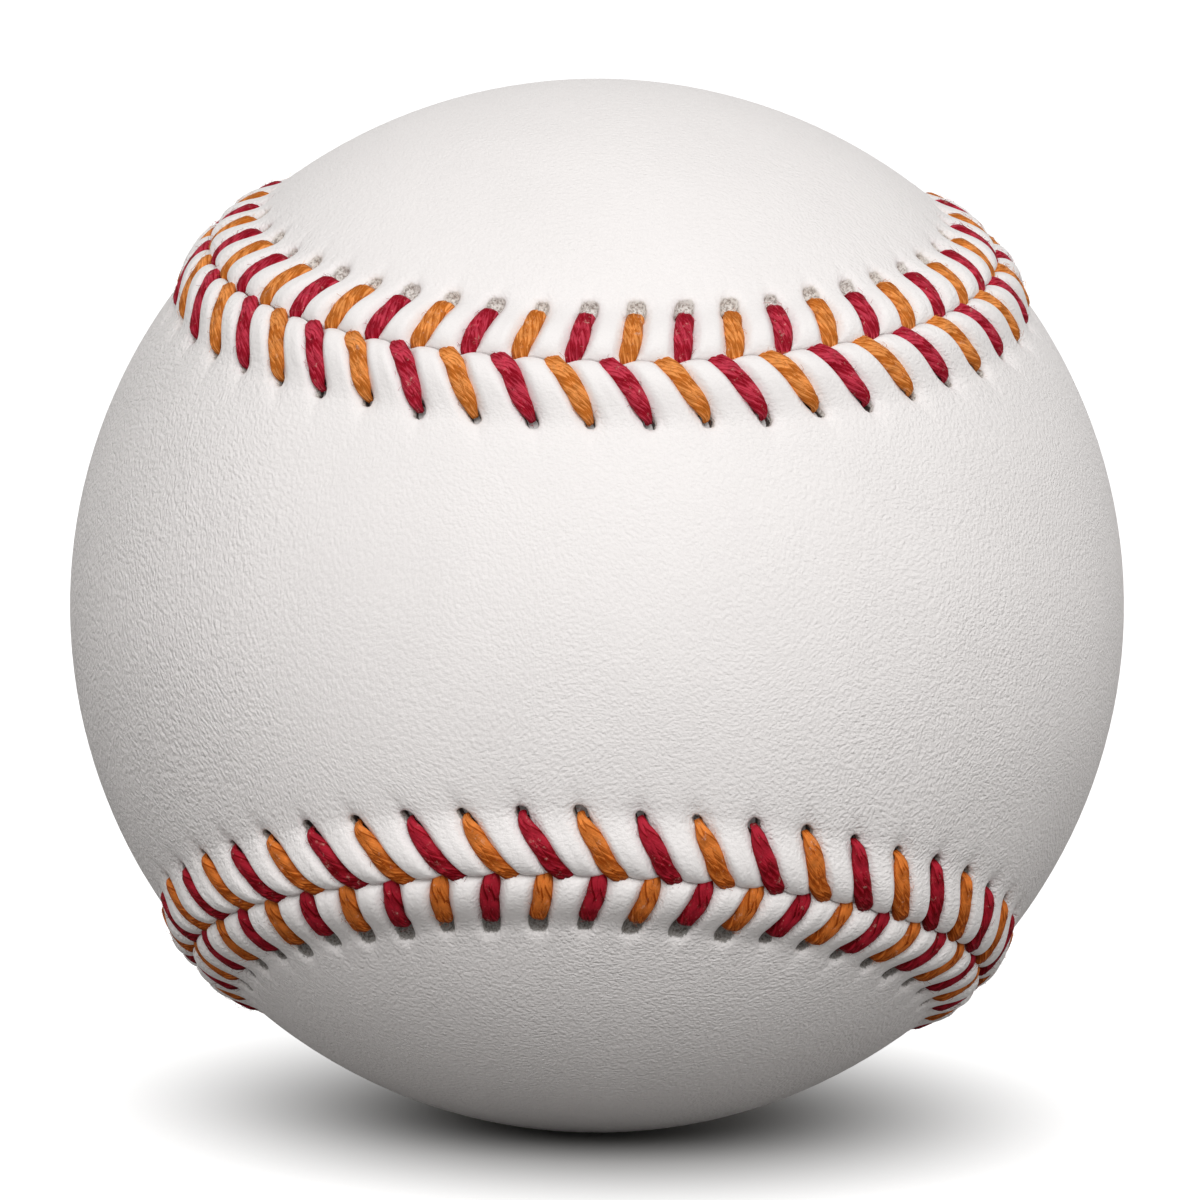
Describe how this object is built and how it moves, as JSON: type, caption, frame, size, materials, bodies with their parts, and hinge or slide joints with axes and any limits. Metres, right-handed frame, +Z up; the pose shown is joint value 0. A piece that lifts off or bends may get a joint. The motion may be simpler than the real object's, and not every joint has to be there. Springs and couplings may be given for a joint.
{
  "type": "baseball",
  "caption": "Regulation-size ball with a cushioned cork pill, wound wool layers and a two-panel leather cover sewn with two threads in V-shaped stitches.",
  "frame": {"origin": "middle of the ball", "axes": "+Z up; the waist of the front panel faces -Y and its two lobes wrap to +X and -X; the waist of the back panel faces +Y and its two lobes wrap to +Z and -Z"},
  "size_m": [0.0736, 0.0736, 0.0736],
  "materials": {
    "cork": "ground cork, matt",
    "black_rubber": "moulded, matt",
    "red_rubber": "moulded, matt",
    "grey_wool": "tightly wound four-ply and three-ply yarn",
    "white_wool": "tightly wound three-ply yarn",
    "cotton_yarn": "finely wound cotton blend yarn",
    "white_leather": "full grain, fine wrinkles, low satin sheen",
    "red_thread": "waxed and twisted",
    "orange_thread": "waxed and twisted"
  },
  "bodies": {
    "root": {"cork_core": "cork", "cup_upper": "black_rubber", "cup_lower": "black_rubber", "gasket": "red_rubber", "rubber_jacket": "red_rubber", "inner_winding": "grey_wool", "middle_winding": "white_wool", "outer_winding": "grey_wool", "finish_winding": "cotton_yarn", "cover_panel_front": "white_leather", "cover_panel_back": "white_leather", "thread_red": "red_thread", "thread_orange": "orange_thread"}
  },
  "joints": []
}
